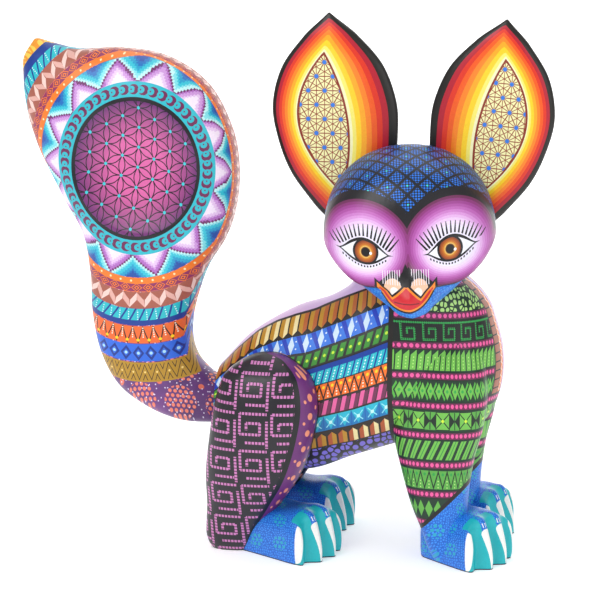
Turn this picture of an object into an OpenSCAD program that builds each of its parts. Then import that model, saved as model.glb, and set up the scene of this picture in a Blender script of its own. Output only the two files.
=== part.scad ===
// Carved and painted fox figure in the Oaxacan alebrije tradition.
// The fox stands along X with its chest towards +X and turns its head to look along -Y.
// Every block is a skin drawn over ribs, cut to meet its neighbours and bored for its pegs. Millimetres.

/* [Ears] */
// Thickness of an ear blade at its middle
ear_thickness = 13; // [9:1:15]
// Radius of the peg that holds an ear
ear_peg_r = 3; // [2:0.5:4]
// Length of an ear peg, half of it in the blade
ear_peg_len = 36; // [28:2:40]
// How far an ear's front is hollowed
ear_dish = 3; // [1:0.5:4]

/* [Tail] */
// Radius of the tail's peg
tail_peg_r = 7; // [5:0.5:8]
// How far the tail's peg stands out of the tail's root
tail_peg_out = 24; // [16:1:28]
// Radius of the round dish in the tail's flank, where it is cut square to its axis
dish_r = 36; // [34:1:38]
// Depth of that dish below its rim
dish_depth = 6; // [3:0.5:8]

/* [Glued joints] */
// Radius of the dowels that carry the legs
dowel_r = 4; // [3:0.5:5]
// Length of a leg dowel
dowel_len = 26; // [20:1:30]
// Radius of the dowel between neck and head
neck_dowel_r = 7; // [5:0.5:9]
// Length of that dowel
neck_dowel_len = 56; // [40:2:60]

/* [Fits] */
// Gap round a peg in its socket, on the radius
peg_gap = 0.05; // [0.02:0.01:0.1]
// Glue gap round a dowel, on the radius
glue_gap = 0.05; // [0.02:0.01:0.1]
// Gap between a piece that lifts off and the block it sits on
seat_gap = 0.4; // [0.3:0.1:0.6]

/* [Hidden] */

// Moves the whole figure so that the origin is under the middle of its outline
origin_shift = [10.8, 1.2, 0];

// Where the head's centre is, and how it turns, nods and tips
head_at = [66.5, -8, 191];
head_turn = 10;
head_nod = 10;
head_tip = 3;

// Flat glued faces of the legs, as depths
haunch_face = [-22, 32];
foreleg_face = [-10, 20];
// Where the shoulder blocks begin along the trunk, and above the floor
shoulder_x = 60;
shoulder_z = 40;
// Longer than the figure in any direction, for saw cuts
far = 300;
// Where the tail meets the rump, and the height and depth of its peg
tail_seat_x = -48;
tail_root = [-48, 5, 84];
// Height that the saw cut of the tail's root reaches, between the rump and the brush above it
root_top = 150;
// Middle of the round dish in the tail, along and up
dish_at = [-94, 225];
// Depth of the dish's rim, the ball that hollows it, and how that ball is drawn out along and up
dish_rim_y = -20;
dish_ball = (dish_r * dish_r + dish_depth * dish_depth) / (2 * dish_depth);
dish_stretch = [1.14, 1, 0.9];

// Ribs: [x and z of one edge, x and z of the other edge, depth of the middle, half width across]
trunk_ribs = [
    [-60, 96, -58, 68, 5, 17],
    [-48, 107, -47, 60, 5, 25],
    [-30, 126, -26, 50, 5, 33],
    [-4, 142, 5, 45, 5, 36],
    [16, 149, 36, 56, 5, 38],
    [28, 156, 72, 68, 5, 39],
    [33, 162, 106, 76, 5, 38],
    [35, 167, 118, 96, 5, 37],
    [37, 172, 120, 120, 4, 35],
    [40, 178, 114, 145, 2, 33],
    [44, 184, 106, 165, 0, 30],
];
head_ribs = [
    [-43, 16, -43, -16, 0, 19],
    [-35, 34, -35, -31, 0, 36],
    [-14, 49, -14, -43, 0, 47],
    [8, 51, 6, -46, 0, 49.5],
    [26, 45, 24, -44, 0, 47],
    [38, 32, 37, -40, 0, 40],
    [46, 13, 45, -37, 0, 30],
    [52, -2, 51, -35, 0, 20],
    [58, -9, 58, -34, 0, 15],
    [65, -14, 64, -29, 0, 9],
];
ear_ribs = [
    [-5, -10, 10, -7, 0, 5],
    [-20, 8, 22, 11, 0, 6],
    [-34, 27, 28, 30, 0, 6.5],
    [-42, 48, 30, 50, 0, 6.5],
    [-44.5, 67, 29, 69, 0, 6.5],
    [-39, 88, 21, 90, 0, 6],
    [-26, 106, 6, 107, 0, 5],
    [-13, 120, -9, 120, 0, 2.5],
];
tail_ribs = [
    [-40, 72, -40, 96, 5, 12],
    [-56, 70, -52, 99, 5, 14],
    [-74, 71, -59, 104, 5, 17],
    [-93, 78, -64, 110, 5, 19.5],
    [-111, 91, -67, 119, 5, 21.5],
    [-122, 111, -67, 131, 5, 23],
    [-127, 135, -64, 145, 5, 24],
    [-128, 158, -57, 164, 5, 25],
    [-132, 182, -46, 182, 5, 27],
    [-141, 199, -40, 200, 5, 29],
    [-150, 216, -38, 222, 5, 30],
    [-158, 232, -42, 246, 5, 30],
    [-164, 249, -56, 272, 5, 28],
    [-167, 264, -80, 288, 5, 24],
    [-168, 276, -108, 293, 5, 18],
    [-168, 286, -136, 292, 5, 12],
    [-164, 297, -157, 298, 5, 5],
];
haunch_ribs = [
    [-53, -4, -22, -4, -18, 12],
    [-52, 12, -18, 12, -20, 14],
    [-50, 30, -6, 30, -25, 17],
    [-49, 50, 7, 50, -31, 20],
    [-46, 72, 15, 72, -34, 21],
    [-43, 92, 18, 92, -33, 21],
    [-38, 108, 14, 108, -31, 18],
    [-27, 121, 3, 121, -28, 12],
];
foreleg_ribs = [
    [83, -4, 107, -4, -20, 11],
    [79, 14, 104, 14, -21, 13],
    [71, 34, 104, 36, -21, 14],
    [65, 54, 107, 60, -20, 15],
    [60, 74, 112, 80, -18, 17],
    [59, 96, 114, 100, -16, 18],
    [62, 118, 112, 120, -14, 18],
    [70, 138, 104, 140, -12, 14],
    [80, 150, 92, 150, -11, 8],
];
hind_paw_ribs = [
    [-38, 14, -38, -8, 0, 10],
    [-28, 26, -28, -8, 0, 13],
    [-8, 31, -8, -8, 0, 16],
    [12, 29, 12, -8, 0, 19],
    [26, 30, 26, -8, 0, 21.5],
    [34, 27, 34, -8, 0, 21],
    [40, 14, 40, -8, 0, 16],
];
front_paw_ribs = [
    [-20, 22, -20, -8, 0, 10],
    [-12, 32, -12, -8, 0, 14],
    [4, 31, 4, -8, 0, 18],
    [18, 30, 18, -8, 0, 21],
    [26, 28, 26, -8, 0, 21.5],
    [33, 14, 33, -8, 0, 16],
];
// Paws: middle of the sole and the way the toes point
hind_paws = [[-12, -18, -24], [-15, 42, -10]];
front_paws = [[95, -13, -28], [90, 43, -12]];
// The paws' toes: how many, how wide apart, and how far the grooves between them run back
toes = 4;
toe_pitch = 14;
toe_groove = 5;
// The left legs repeat the right ones on the far side of the trunk
hind_mirror_y = 10;
fore_mirror_y = 10;

// How finely each skin follows its ribs: rings along it and points round it
trunk_mesh = [36, 30];
head_mesh = [32, 32];
ear_mesh = [26, 24];
tail_mesh = [56, 28];
leg_mesh = [24, 24];
paw_mesh = [16, 24];
// How square the sections are: 2 is round, and less than 2 is drawn toward a diamond
trunk_square = 2.2;
head_square = 2.1;
jaw_square = 1.3;
ear_square = 2.6;
tail_square = 2.5;
haunch_square = 2.6;
foreleg_square = 2.4;
paw_square = 3;

// Pegs and dowels, as a point and the way they lie
ear_roots = [[35, 13, 218], [98, 13, 218]];
ear_lean = [-26, 26];
// Where the two ears stand, how they turn, and their sizes beside the drawn one
ear_at = [[25.5, 13, 195], [99.5, 13, 195]];
ear_turn = [0, 4];
ear_size = [[1, 1, 1], [0.96, 1, 0.99]];
// The thickness that the ear's ribs are drawn at
ear_rib_thickness = 13;
// The ball that hollows an ear, how it is drawn out, and where its middle is across and up the ear
ear_ball = 60;
ear_ball_stretch = [1.4, 1, 2.4];
ear_dish_at = [-8, 62];
// Half the length of the head, by which a gap all round it is turned into a scale
head_reach = 48;
neck_dowel_at = [72, -1, 140];
neck_dowel_lean = [0, -6, 0];
hip_dowels = [[-22, 88], [-14, 64]];
shoulder_dowels = [[80, 118], [92, 90]];

function catmull(a, b, c, d, t) = 0.5 * (2 * b + (c - a) * t
    + (2 * a - 5 * b + 4 * c - d) * t * t + (3 * b - a - 3 * c + d) * t * t * t);
function rib_at(ribs, s) =
    let (last = len(ribs) - 1, i = min(floor(s), last - 1))
    catmull(ribs[max(i - 1, 0)], ribs[i], ribs[i + 1], ribs[min(i + 2, last)], s - i);
// 0 at a rounded end and 1 from the next rib on, along a quarter circle
function round_off(s, last) = sqrt(max(0, 1 - pow(1 - min(1, s, last - s), 2)));
function swell(c, power) = sign(c) * pow(abs(c), 2 / power);
// A section's points. Past the middle of the rib its squareness is that of the under side
function section(rib, size, n, power, under) =
    let (
        mid = [(rib[0] + rib[2]) / 2, rib[4], (rib[1] + rib[3]) / 2],
        up = [(rib[0] - rib[2]) / 2, 0, (rib[1] - rib[3]) / 2]
    )
    [for (k = [0:n - 1])
        let (a = 360 * k / n, p = cos(a) < 0 ? under : power)
        mid + size * (up * swell(cos(a), p) + [0, rib[5] * swell(sin(a), p), 0])];
function flat(lists) = [for (l = lists) each l];

// A closed skin over ribs, rounded off at both ends
module skin(ribs, mesh, power, under = 0) {
    last = len(ribs) - 1;
    count = mesh[0];
    n = mesh[1];
    low = under > 0 ? under : power;
    stations = [for (j = [1:count - 1]) last * (1 - cos(180 * j / count)) / 2];
    walls = flat([for (s = stations) section(rib_at(ribs, s), round_off(s, last), n, power, low)]);
    ends = [section(ribs[0], 0, 1, power, low)[0], section(ribs[last], 0, 1, power, low)[0]];
    points = concat(walls, ends);
    top = len(walls);
    m = len(stations);
    faces = concat(
        [for (k = [0:n - 1]) [top, (k + 1) % n, k]],
        [for (k = [0:n - 1]) [top + 1, (m - 1) * n + k, (m - 1) * n + (k + 1) % n]],
        flat([for (j = [0:m - 2]) flat([for (k = [0:n - 1])
            let (a = j * n + k, b = j * n + (k + 1) % n, c = a + n, d = b + n)
            [[a, b, c], [b, d, c]]])])
    );
    polyhedron(points, faces);
}

// Joins and cuts its children as one closed skin, before anything is bored in it
module carved() {
    resize([0, 0, 0]) children();
}

module place() {
    translate(origin_shift) children();
}

// The corner sawn out of the trunk for a shoulder
module shoulder_room(side) {
    translate([shoulder_x, side == 0 ? foreleg_face[0] - far : foreleg_face[1], shoulder_z])
        cube(far);
}

module trunk_form() {
    skin(trunk_ribs, trunk_mesh, trunk_square);
}

module head_form(grow = 0) {
    translate(head_at)
        rotate([0, 0, head_turn - 90])
            rotate([head_tip, head_nod, 0])
                scale(1 + grow / head_reach)
                    skin(head_ribs, head_mesh, head_square, jaw_square);
}

module paw_form(paw, ribs) {
    front = ribs[len(ribs) - 1][0];
    translate([paw[0], paw[1], 0])
        rotate([0, 0, paw[2]])
            difference() {
                skin(ribs, paw_mesh, paw_square);
                for (k = [1:toes - 1])
                    translate([front, (k - toes / 2) * toe_pitch, -1])
                        cylinder(h = far, r = toe_groove, $fn = 12);
            }
}

module above_floor() {
    difference() {
        children();
        translate([-far, -far, -far]) cube([2 * far, 2 * far, far]);
    }
}

// What lies on one side of a flat glued face
module beyond(y, outside) {
    intersection() {
        union() children();
        translate([-far, outside < 0 ? y - far : y, -far]) cube([2 * far, far, 2 * far]);
    }
}

// All that is behind the rump's flat seat
module behind_seat() {
    translate([tail_seat_x - far, -far / 2, 0]) cube(far);
}

// All that is ahead of the tail's own flat root
module ahead_of_root() {
    translate([tail_seat_x - seat_gap, -far / 2, 0]) cube([far, far, root_top]);
}

module flip(mirror_y) {
    translate([0, mirror_y, 0]) mirror([0, 1, 0]) children();
}

// side 0 is the right leg, nearest the viewer, and side 1 the left
module haunch_form(side) {
    above_floor() {
        beyond(haunch_face[side], side == 0 ? -1 : 1)
            if (side == 0) skin(haunch_ribs, leg_mesh, haunch_square);
            else flip(hind_mirror_y) skin(haunch_ribs, leg_mesh, haunch_square);
        paw_form(hind_paws[side], hind_paw_ribs);
    }
}

module foreleg_form(side) {
    above_floor() {
        beyond(foreleg_face[side], side == 0 ? -1 : 1) {
            if (side == 0) skin(foreleg_ribs, leg_mesh, foreleg_square);
            else flip(fore_mirror_y) skin(foreleg_ribs, leg_mesh, foreleg_square);
            intersection() {
                trunk_form();
                shoulder_room(side);
            }
        }
        paw_form(front_paws[side], front_paw_ribs);
    }
}

module dowels(points, face, r, len) {
    for (p = points)
        translate([p[0], face - len / 2, p[1]])
            rotate([-90, 0, 0])
                cylinder(h = len, r = r, $fn = 48);
}

module hip_dowel_pair(side, gap = 0) {
    color("tan") dowels(hip_dowels, haunch_face[side], dowel_r + gap, dowel_len);
}

module shoulder_dowel_pair(side, gap = 0) {
    color("tan") dowels(shoulder_dowels, foreleg_face[side], dowel_r + gap, dowel_len);
}

module neck_dowel_form(gap = 0) {
    translate(neck_dowel_at)
        rotate(neck_dowel_lean)
            translate([0, 0, -gap])
                cylinder(h = neck_dowel_len + 2 * gap, r = neck_dowel_r + gap, $fn = 48);
}

module ear_peg_form(side, gap = 0, extra = 0) {
    translate(ear_roots[side])
        rotate([0, ear_lean[side], 0])
            translate([0, 0, -ear_peg_len / 2 - extra])
                cylinder(h = ear_peg_len + extra, r = ear_peg_r + gap, $fn = 48);
}

module tail_peg_form(gap = 0, extra = 0) {
    translate(tail_root)
        rotate([0, 90, 0])
            translate([0, 0, -tail_peg_out])
                cylinder(h = 2 * tail_peg_out + extra, r = tail_peg_r + gap, $fn = 48);
}

module torso() {
    color("royalblue") difference() {
        carved() difference() {
            trunk_form();
            head_form();
            for (side = [0, 1]) {
                haunch_form(side);
                foreleg_form(side);
                shoulder_room(side);
            }
            behind_seat();
        }
        for (side = [0, 1]) {
            hip_dowel_pair(side, glue_gap);
            shoulder_dowel_pair(side, glue_gap);
        }
        neck_dowel_form(glue_gap);
        tail_peg_form(peg_gap, 1);
    }
}

module head() {
    color("mediumorchid") difference() {
        head_form();
        neck_dowel_form(glue_gap);
        for (side = [0, 1]) ear_peg_form(side, peg_gap, 1);
    }
}

module neck_dowel() {
    color("tan") neck_dowel_form();
}

module haunch(side) {
    color("indigo") difference() {
        carved() haunch_form(side);
        hip_dowel_pair(side, glue_gap);
    }
}

module foreleg(side) {
    color("forestgreen") difference() {
        carved() difference() {
            foreleg_form(side);
            head_form();
        }
        shoulder_dowel_pair(side, glue_gap);
    }
}

// An ear's blade as it is drawn, with the bowl gouged out of its front
module ear_blade() {
    difference() {
        scale([1, ear_thickness / ear_rib_thickness, 1]) skin(ear_ribs, ear_mesh, ear_square);
        translate([ear_dish_at[0], ear_dish - ear_thickness / 2 - ear_ball, ear_dish_at[1]])
            scale(ear_ball_stretch) sphere(r = ear_ball, $fn = 72);
    }
}

module ear(side) {
    color("gold") difference() {
        carved() difference() {
            translate(ear_at[side])
                rotate([0, ear_turn[side], 0])
                    mirror([side, 0, 0])
                        scale(ear_size[side]) ear_blade();
            head_form(seat_gap * 1.5);
        }
        ear_peg_form(side);
    }
}

module ear_peg(side) {
    color("tan") ear_peg_form(side);
}

module tail() {
    color("darkorange") difference() {
        carved() difference() {
            skin(tail_ribs, tail_mesh, tail_square);
            ahead_of_root();
            translate([dish_at[0], dish_rim_y + dish_depth - dish_ball, dish_at[1]])
                scale(dish_stretch) sphere(r = dish_ball, $fn = 120);
        }
        tail_peg_form();
    }
}

module tail_peg() {
    color("tan") tail_peg_form();
}

place() torso();
place() head();
place() neck_dowel();
place() haunch(0);  // haunch_right
place() haunch(1);  // haunch_left
place() hip_dowel_pair(0);  // hip_dowels_right
place() hip_dowel_pair(1);  // hip_dowels_left
place() foreleg(0);  // foreleg_right
place() foreleg(1);  // foreleg_left
place() shoulder_dowel_pair(0);  // shoulder_dowels_right
place() shoulder_dowel_pair(1);  // shoulder_dowels_left
place() ear(0);  // ear_right
place() ear(1);  // ear_left
place() ear_peg(0);  // ear_peg_right
place() ear_peg(1);  // ear_peg_left
place() tail();
place() tail_peg();
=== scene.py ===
import math
import bpy
import bmesh
from mathutils import Matrix, Vector


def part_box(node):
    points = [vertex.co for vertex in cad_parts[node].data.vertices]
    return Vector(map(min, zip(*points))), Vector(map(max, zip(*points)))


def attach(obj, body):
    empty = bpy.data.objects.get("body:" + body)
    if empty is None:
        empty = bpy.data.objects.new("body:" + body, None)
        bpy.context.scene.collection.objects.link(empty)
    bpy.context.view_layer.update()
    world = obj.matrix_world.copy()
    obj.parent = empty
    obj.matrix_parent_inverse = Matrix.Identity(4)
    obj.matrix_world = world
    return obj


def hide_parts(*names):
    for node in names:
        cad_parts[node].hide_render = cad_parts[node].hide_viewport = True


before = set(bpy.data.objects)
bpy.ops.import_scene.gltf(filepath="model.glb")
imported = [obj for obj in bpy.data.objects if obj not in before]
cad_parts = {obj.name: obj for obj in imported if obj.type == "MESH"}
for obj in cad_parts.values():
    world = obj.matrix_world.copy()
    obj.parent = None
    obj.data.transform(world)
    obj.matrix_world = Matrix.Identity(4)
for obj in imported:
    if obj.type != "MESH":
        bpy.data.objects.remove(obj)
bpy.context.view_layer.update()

# ---------------------------------------------------------------- the table, the light and the camera
# A seamless sheet of pale card swept up behind, lit by one large soft box from the
# upper left, a weaker one from the right and a little light from all round.

sheet = bmesh.new()
bmesh.ops.create_grid(sheet, x_segments=60, y_segments=60, size=3.0)
for corner in sheet.verts:
    rise = max(0.0, corner.co.y - 1.2)
    corner.co.z = 0.55 * rise * rise
card = bpy.data.objects.new("card", bpy.data.meshes.new("card"))
sheet.to_mesh(card.data)
bpy.context.scene.collection.objects.link(card)
for face in card.data.polygons:
    face.use_smooth = True
card_finish = bpy.data.materials.new("matt_white_card")
card_finish.use_nodes = True
card_face = card_finish.node_tree.nodes["Principled BSDF"]
card_face.inputs["Base Color"].default_value = (0.92, 0.92, 0.93, 1.0)
card_face.inputs["Roughness"].default_value = 0.9
# The sheet is lit through from below, so that it goes white and shadows on it stay soft
card_face.inputs["Emission Color"].default_value = (1.0, 1.0, 1.0, 1.0)
card_face.inputs["Emission Strength"].default_value = 0.4
card.data.materials.append(card_finish)


def soft_box(name, place, size, power, toward=(0, 0, 0.15)):
    """A square soft box that faces the figure, or another place."""
    lamp = bpy.data.lights.new(name, "AREA")
    lamp.energy = power
    lamp.size = size
    stand = bpy.data.objects.new(name, lamp)
    stand.location = place
    stand.rotation_euler = (Vector(toward) - Vector(place)).to_track_quat("-Z", "Y").to_euler()
    bpy.context.scene.collection.objects.link(stand)


soft_box("key_light", (-0.55, -1.1, 1.25), 0.9, 11)
soft_box("fill_light", (1.2, -0.9, 0.7), 1.0, 4.5)
soft_box("top_light", (0.1, 0.5, 1.5), 1.2, 6)
soft_box("sheet_light", (0.0, 0.7, 1.3), 1.6, 40, (0, 3.0, 0.9))

sky = bpy.data.worlds.new("studio")
sky.use_nodes = True
sky.node_tree.nodes["Background"].inputs["Color"].default_value = (1.0, 1.0, 1.0, 1.0)
sky.node_tree.nodes["Background"].inputs["Strength"].default_value = 0.5
bpy.context.scene.world = sky
bpy.context.scene.view_settings.view_transform = "Standard"

# Where the drawn figure's own zero lies in mm, read back from the tail's peg, which was drawn at this place
PEG_DRAWN_AT = Vector((-48, 5, 84))
peg_low, peg_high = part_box("tail_peg")
DRAWN_ZERO = (Vector(peg_low) + Vector(peg_high)) / 2 * 1000 - PEG_DRAWN_AT

azimuth, elevation, distance = math.radians(12), math.radians(11), 1.5
back = Vector((
    math.sin(azimuth) * math.cos(elevation),
    -math.cos(azimuth) * math.cos(elevation),
    math.sin(elevation),
))
camera = bpy.data.objects.new("camera", bpy.data.cameras.new("camera"))
camera.data.lens = 153
camera.location = (Vector((0, 0, 147)) + DRAWN_ZERO) * 0.001 + back * distance
camera.rotation_euler = back.to_track_quat("Z", "Y").to_euler()
camera.data.clip_end = 20
bpy.context.scene.collection.objects.link(camera)
bpy.context.scene.camera = camera

# ---------------------------------------------------------------- trunk
# One block of copal wood, rasped and sanded smooth, then sealed and painted by hand in
# acrylic: ten long bands of small figures on each flank, green bands on the chest.
# Its ribs, in mm: x and z of the back line, x and z of the belly line, middle depth, half width.

TRUNK_RIBS = [
    (-60, 96, -58, 68, 5, 17),
    (-48, 107, -47, 60, 5, 25),
    (-30, 126, -26, 50, 5, 33),
    (-4, 142, 5, 45, 5, 36),
    (16, 149, 36, 56, 5, 38),
    (28, 156, 72, 68, 5, 39),
    (33, 162, 106, 76, 5, 38),
    (35, 167, 118, 96, 5, 37),
    (37, 172, 120, 120, 4, 35),
    (40, 178, 114, 145, 2, 33),
    (44, 184, 106, 165, 0, 30),
]


def between_ribs(ribs, s):
    """The rib at a place s along the row, on a smooth curve through the ribs beside it."""
    last = len(ribs) - 1
    i = min(int(s), last - 1)
    t = s - i
    near = [ribs[max(i - 1, 0)], ribs[i], ribs[i + 1], ribs[min(i + 2, last)]]
    return [
        0.5 * (2 * b + (c - a) * t + (2 * a - 5 * b + 4 * c - d) * t * t
               + (3 * b - a - 3 * c + d) * t * t * t)
        for a, b, c, d in zip(*near)
    ]


def skin(ribs, around, along, square, under=None):
    """A closed skin over ribs with rounded ends. Its grid, 0 to 1 round and along, stays as its UV map.

    Its sections are round at a squareness of 2. The under side can have a squareness of its own.
    """
    form = bmesh.new()
    bmesh.ops.create_grid(form, x_segments=around, y_segments=along, size=0.5, calc_uvs=False)
    grid = form.loops.layers.uv.new("grid")
    for face in form.faces:
        for loop in face.loops:
            loop[grid].uv = (loop.vert.co.x + 0.5, loop.vert.co.y + 0.5)
    last = len(ribs) - 1
    for vert in form.verts:
        turn = (vert.co.x + 0.5) * 2 * math.pi
        s = last * (1 - math.cos(math.pi * min(1.0, max(0.0, vert.co.y + 0.5)))) / 2
        x0, z0, x1, z1, depth, half = between_ribs(ribs, s)
        size = math.sqrt(max(0.0, 1 - (1 - min(1.0, s, last - s)) ** 2))
        power = 2 / (under if under and math.cos(turn) < 0 else square)
        up = size * math.copysign(abs(math.cos(turn)) ** power, math.cos(turn))
        out = size * math.copysign(abs(math.sin(turn)) ** power, math.sin(turn))
        vert.co = (
            (x0 + x1) / 2 + up * (x0 - x1) / 2,
            depth + out * half,
            (z0 + z1) / 2 + up * (z0 - z1) / 2,
        )
    bmesh.ops.remove_doubles(form, verts=form.verts, dist=0.001)
    bmesh.ops.recalc_face_normals(form, faces=form.faces)
    return form


# A face's mark for wood that was sawn or drilled after the skin was shaped, and left unpainted
BARE = 1


def cut_away(form, point, normal, left=BARE):
    """Saws off what lies past a plane, and closes it with a face that is left bare or painted over."""
    everything = form.verts[:] + form.edges[:] + form.faces[:]
    sawn = bmesh.ops.bisect_plane(
        form, geom=everything, dist=0.001, plane_co=point, plane_no=normal, clear_outer=True
    )
    rim = [edge for edge in sawn["geom_cut"] if isinstance(edge, bmesh.types.BMEdge)]
    for face in bmesh.ops.holes_fill(form, edges=rim, sides=0)["faces"]:
        face.material_index = left
    bmesh.ops.recalc_face_normals(form, faces=form.faces)


def drill(middle, lean, radius, length):
    """A straight drill in mm, turned by an angle about the depth axis, away from upright."""
    bit = bmesh.new()
    lies = Matrix.Translation(middle) @ Matrix.Rotation(lean, 4, "Y")
    bmesh.ops.create_cone(
        bit, cap_ends=True, segments=48, radius1=radius, radius2=radius, depth=length, matrix=lies
    )
    return bit


def carve(form, *tools):
    """Takes tools such as drills out of a form. What they lay open is bare wood."""
    blanks = []
    for shape in (form, *tools):
        if shape is not form:
            for face in shape.faces:
                face.material_index = BARE
        blank = bpy.data.objects.new("blank", bpy.data.meshes.new("blank"))
        shape.to_mesh(blank.data)
        shape.free()
        # One empty slot for painted faces and one for bare ones, so that the marks outlast the cut
        blank.data.materials.append(None)
        blank.data.materials.append(None)
        bpy.context.scene.collection.objects.link(blank)
        blanks.append(blank)
    for tool in blanks[1:]:
        cut = blanks[0].modifiers.new("cut", "BOOLEAN")
        cut.operation = "DIFFERENCE"
        cut.object = tool
    carved = bmesh.new()
    carved.from_object(blanks[0], bpy.context.evaluated_depsgraph_get())
    for blank in blanks:
        mesh = blank.data
        bpy.data.objects.remove(blank)
        bpy.data.meshes.remove(mesh)
    return carved


def finished(name, form, body, nodes, slot, finish, **charts):
    """Makes a piece of a form drawn in mm and hangs it on its body in place of its CAD nodes.

    Every chart is a rule that turns a drawn place, a place on the skin's grid and the middle
    of the face into the three painted measures that the finish reads under the chart's name.
    """
    piece = bpy.data.objects.new(name, bpy.data.meshes.new(name))
    form.to_mesh(piece.data)
    form.free()
    mesh = piece.data
    grid = [place.vector.copy() for place in mesh.uv_layers["grid"].uv]
    for title, rule in charts.items():
        layer = mesh.attributes.new(title, "FLOAT_VECTOR", "CORNER").data
        for face in mesh.polygons:
            for i in face.loop_indices:
                co = mesh.vertices[mesh.loops[i].vertex_index].co
                layer[i].vector = rule(co, grid[i], face.center)
    bare = mesh.attributes.new("bare", "FLOAT", "FACE").data
    for face in mesh.polygons:
        bare[face.index].value = float(face.material_index == BARE)
        face.material_index = 0
        face.use_smooth = True
    mesh.set_sharp_from_angle(angle=math.radians(50))
    mesh.transform(Matrix.Scale(0.001, 4) @ Matrix.Translation(DRAWN_ZERO))
    mesh.materials.clear()
    mesh.materials.append(finish)
    bpy.context.scene.collection.objects.link(piece)
    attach(piece, body)
    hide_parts(*nodes)
    return piece


def colour(code):
    """A paint's sRGB hex code turned into the linear colour that Blender mixes."""
    parts = [int(code[i:i + 2], 16) / 255 for i in (0, 2, 4)]
    return (*[p / 12.92 if p <= 0.04045 else ((p + 0.055) / 1.055) ** 2.4 for p in parts], 1.0)


def new_finish(name):
    """Opens an empty finish. Every node that follows goes into it."""
    global paint
    finish = bpy.data.materials.new(name)
    finish.use_nodes = True
    paint = finish.node_tree
    paint.nodes.clear()
    return finish


def add(kind, *feeds, out=None, **settings):
    """Adds one node with its settings and links, and gives its first or its named output.

    A word after the node's kind is the operation that it does.
    """
    kind, space, operation = kind.partition(" ")
    node = paint.nodes.new("ShaderNode" + kind)
    if operation:
        node.operation = operation
    named = {name: value for name, value in settings.items() if name[0].isupper()}
    for name, value in settings.items():
        if name not in named:
            setattr(node, name, value)
    ready = [socket for socket in node.inputs if socket.enabled]
    pairs = list(zip(ready, feeds)) + [(node.inputs[name], value) for name, value in named.items()]
    for socket, value in pairs:
        if isinstance(value, bpy.types.NodeSocket):
            paint.links.new(value, socket)
        else:
            socket.default_value = value
    return node.outputs[out] if out else next((socket for socket in node.outputs if socket.enabled), None)


def drawn_place():
    """The place on the piece in drawn mm."""
    metres = add("TexCoord", out="Object")
    return add("VectorMath MULTIPLY_ADD", metres, (1000, 1000, 1000), tuple(-DRAWN_ZERO))


def measure(place, x=0.0, y=0.0, z=0.0):
    """How far a place lies along a direction."""
    return add("VectorMath DOT_PRODUCT", place, (x, y, z))


def lay(under, over, *shapes):
    """Lays one paint, or a paint's code, over another where all of the shapes are."""
    where = shapes[0]
    for shape in shapes[1:]:
        where = add("Math MULTIPLY", where, shape)
    over = colour(over) if isinstance(over, str) else over
    return add("Mix", where, under, over, data_type="RGBA")


def strip(place, low, high):
    """A strip between two heights."""
    return add("Math COMPARE", measure(place, y=1), (low + high) / 2, (high - low) / 2)


def row(place, at, pitch, start=0.0, tall=900.0, slant=0.0):
    """The place inside a cell of a row of upright or leaning cells. The middle of each cell is zero."""
    moved = add("VectorMath SUBTRACT", place, (start, at, 0))
    if slant:
        moved = add("CombineXYZ", measure(moved, 1, slant), measure(moved, 0, 1), 0.0)
    return add("VectorMath WRAP", moved, (pitch / 2, tall / 2, 9), (-pitch / 2, -tall / 2, -9))


def spot(cell, radius):
    """A round dot of the brush handle's end in each cell."""
    return add("Math LESS_THAN", add("VectorMath LENGTH", cell), radius)


def lozenge(cell, half_width, half_height, thick=None):
    """A diamond in each cell, filled, or only its outline where a thickness is given."""
    folded = add("VectorMath ABSOLUTE", cell)
    far = measure(folded, 1 / half_width, 1 / half_height)
    if thick:
        return add("Math COMPARE", far, 1.0, thick / half_width)
    return add("Math LESS_THAN", far, 1.0)


def block(cell, half_width, half_height):
    """A block in each cell, which leans as its cell does."""
    across = add("Math COMPARE", measure(cell, 1), 0.0, half_width)
    upward = add("Math COMPARE", measure(cell, 0, 1), 0.0, half_height)
    return add("Math MULTIPLY", across, upward)


def above_zigzag(place, at, pitch, rise, start=0.0):
    """How far a place lies above a zigzag line whose peaks are at the cells' middles."""
    tooth = add("Math PINGPONG", add("Math SUBTRACT", measure(place, 1), start - pitch / 2), pitch / 2)
    line = add("Math MULTIPLY_ADD", tooth, 2 * rise / pitch, at - rise / 2)
    return add("Math SUBTRACT", measure(place, y=1), line)


def cells(place, width, gap):
    """Round cells of uneven size, packed close with a dark gap between them."""
    edge = add(
        "TexVoronoi", place, Scale=1 / width, Randomness=0.8, voronoi_dimensions="2D",
        feature="DISTANCE_TO_EDGE",
    )
    middle = add("TexVoronoi", place, Scale=1 / width, Randomness=0.8, voronoi_dimensions="2D")
    parted = add("Math GREATER_THAN", edge, gap / width)
    return add("Math MULTIPLY", parted, add("Math LESS_THAN", middle, 0.43))


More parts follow.
